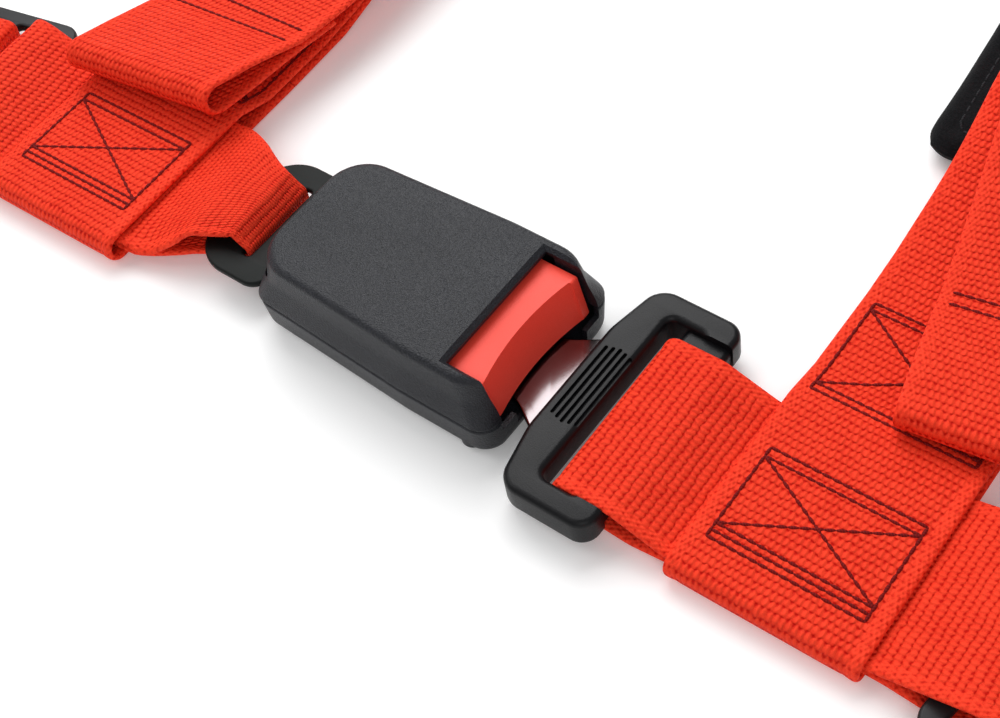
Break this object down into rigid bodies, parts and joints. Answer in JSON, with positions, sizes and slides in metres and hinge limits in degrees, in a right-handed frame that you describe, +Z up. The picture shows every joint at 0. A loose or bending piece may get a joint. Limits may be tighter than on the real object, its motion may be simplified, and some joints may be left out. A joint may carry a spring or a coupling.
{
  "type": "racing harness",
  "caption": "Flat-laid racing harness: red webbing lap and shoulder straps, push-button buckle with steel tongue, three-bar adjusters, shoulder pads and bolt-in anchor tabs.",
  "frame": {"origin": "middle of the laid-out harness, on the surface that it lies on", "axes": "+X along the lap straps from the buckle to its tongue, +Y up the shoulder straps, +Z up from the surface"},
  "size_m": [0.932, 0.7362, 0.0254],
  "materials": {
    "red_webbing": "matte woven polyester webbing, vivid red",
    "black_webbing": "matte woven black webbing",
    "pad_fabric": "matte black brushed fabric over foam",
    "housing_plastic": "fine spark-eroded grain, satin",
    "grip_plastic": "fine grain, satin",
    "button_plastic": "smooth semi-gloss bright red",
    "chrome": "polished",
    "dark_steel": "black zinc plate, satin",
    "black_steel": "black powder coat, satin",
    "spring_steel": "bare spring steel",
    "white_plastic": "natural acetal"
  },
  "bodies": {
    "buckle_side": {"upper_cover": "housing_plastic", "lower_cover": "housing_plastic", "buckle_frame": "dark_steel", "latch_blade": "spring_steel", "latch_rivet_left": "spring_steel", "latch_rivet_right": "spring_steel", "ejector_spring": "spring_steel", "button_spring_left": "spring_steel", "button_spring_right": "spring_steel", "cover_screw_rear_left": "dark_steel", "cover_screw_rear_right": "dark_steel", "cover_screw_front_left": "dark_steel", "cover_screw_front_right": "dark_steel", "lap_loop_strap_left": "red_webbing", "lap_adjuster_left": "black_steel", "lap_anchor_strap_left": "red_webbing", "shoulder_loop_strap_left": "red_webbing", "shoulder_adjuster_left": "black_steel", "shoulder_anchor_strap_left": "red_webbing"},
    "tongue_side": {"tongue_plate": "chrome", "tongue_grip": "grip_plastic", "lap_loop_strap_right": "red_webbing", "lap_adjuster_right": "black_steel", "lap_anchor_strap_right": "red_webbing", "shoulder_loop_strap_right": "red_webbing", "shoulder_adjuster_right": "black_steel", "shoulder_anchor_strap_right": "red_webbing"},
    "button": {"release_button": "button_plastic"},
    "ejector": {"ejector": "white_plastic"},
    "pad_left": {"shoulder_pad_left": "pad_fabric", "pad_keeper_lower_left": "black_webbing", "pad_keeper_upper_left": "black_webbing"},
    "lap_tab_left": {"lap_anchor_tab_left": "black_steel"},
    "shoulder_tab_left": {"shoulder_anchor_tab_left": "black_steel"},
    "pad_right": {"shoulder_pad_right": "pad_fabric", "pad_keeper_lower_right": "black_webbing", "pad_keeper_upper_right": "black_webbing"},
    "lap_tab_right": {"lap_anchor_tab_right": "black_steel"},
    "shoulder_tab_right": {"shoulder_anchor_tab_right": "black_steel"}
  },
  "joints": [
    {"name": "button_press", "type": "slide", "parent": "buckle_side", "child": "button", "axis": [-1, 0, 0], "range_m": [0, 0.0055], "stiffness_N_per_m": 1500, "springref_m": -0.004, "deforming": ["button_spring_left", "button_spring_right", "latch_blade"]},
    {"name": "tongue_release", "type": "slide", "parent": "buckle_side", "child": "tongue_side", "axis": [1, 0, 0], "range_m": [0, 0.06]},
    {"name": "ejector_slide", "type": "slide", "parent": "buckle_side", "child": "ejector", "axis": [1, 0, 0], "range_m": [0, 0.012], "deforming": ["ejector_spring"]},
    {"name": "pad_slide_left", "type": "slide", "parent": "buckle_side", "child": "pad_left", "axis": [0.0698, 0.9976, 0], "range_m": [0, 0.04]},
    {"name": "lap_tab_hinge_left", "type": "hinge", "parent": "buckle_side", "child": "lap_tab_left", "pos_m": [-0.40403, -0.33279, 0.0066], "axis": [-0.1891, 0.982, 0], "range_deg": [-45, 110]},
    {"name": "shoulder_tab_hinge_left", "type": "hinge", "parent": "buckle_side", "child": "shoulder_tab_left", "pos_m": [-0.08652, 0.30536, 0.0066], "axis": [0.9976, -0.0698, 0], "range_deg": [-45, 110]},
    {"name": "pad_slide_right", "type": "slide", "parent": "tongue_side", "child": "pad_right", "axis": [-0.0993, 0.9951, 0], "range_m": [0, 0.04]},
    {"name": "lap_tab_hinge_right", "type": "hinge", "parent": "tongue_side", "child": "lap_tab_right", "pos_m": [0.40378, -0.31307, 0.0066], "axis": [-0.1271, -0.9919, 0], "range_deg": [-45, 110]},
    {"name": "shoulder_tab_hinge_right", "type": "hinge", "parent": "tongue_side", "child": "shoulder_tab_right", "pos_m": [0.06079, 0.30577, 0.0066], "axis": [0.9951, 0.0993, 0], "range_deg": [-45, 110]}
  ],
  "couplings": [
    {"joint": "ejector_slide", "follows": "tongue_release", "ratio": 0.2}
  ]
}
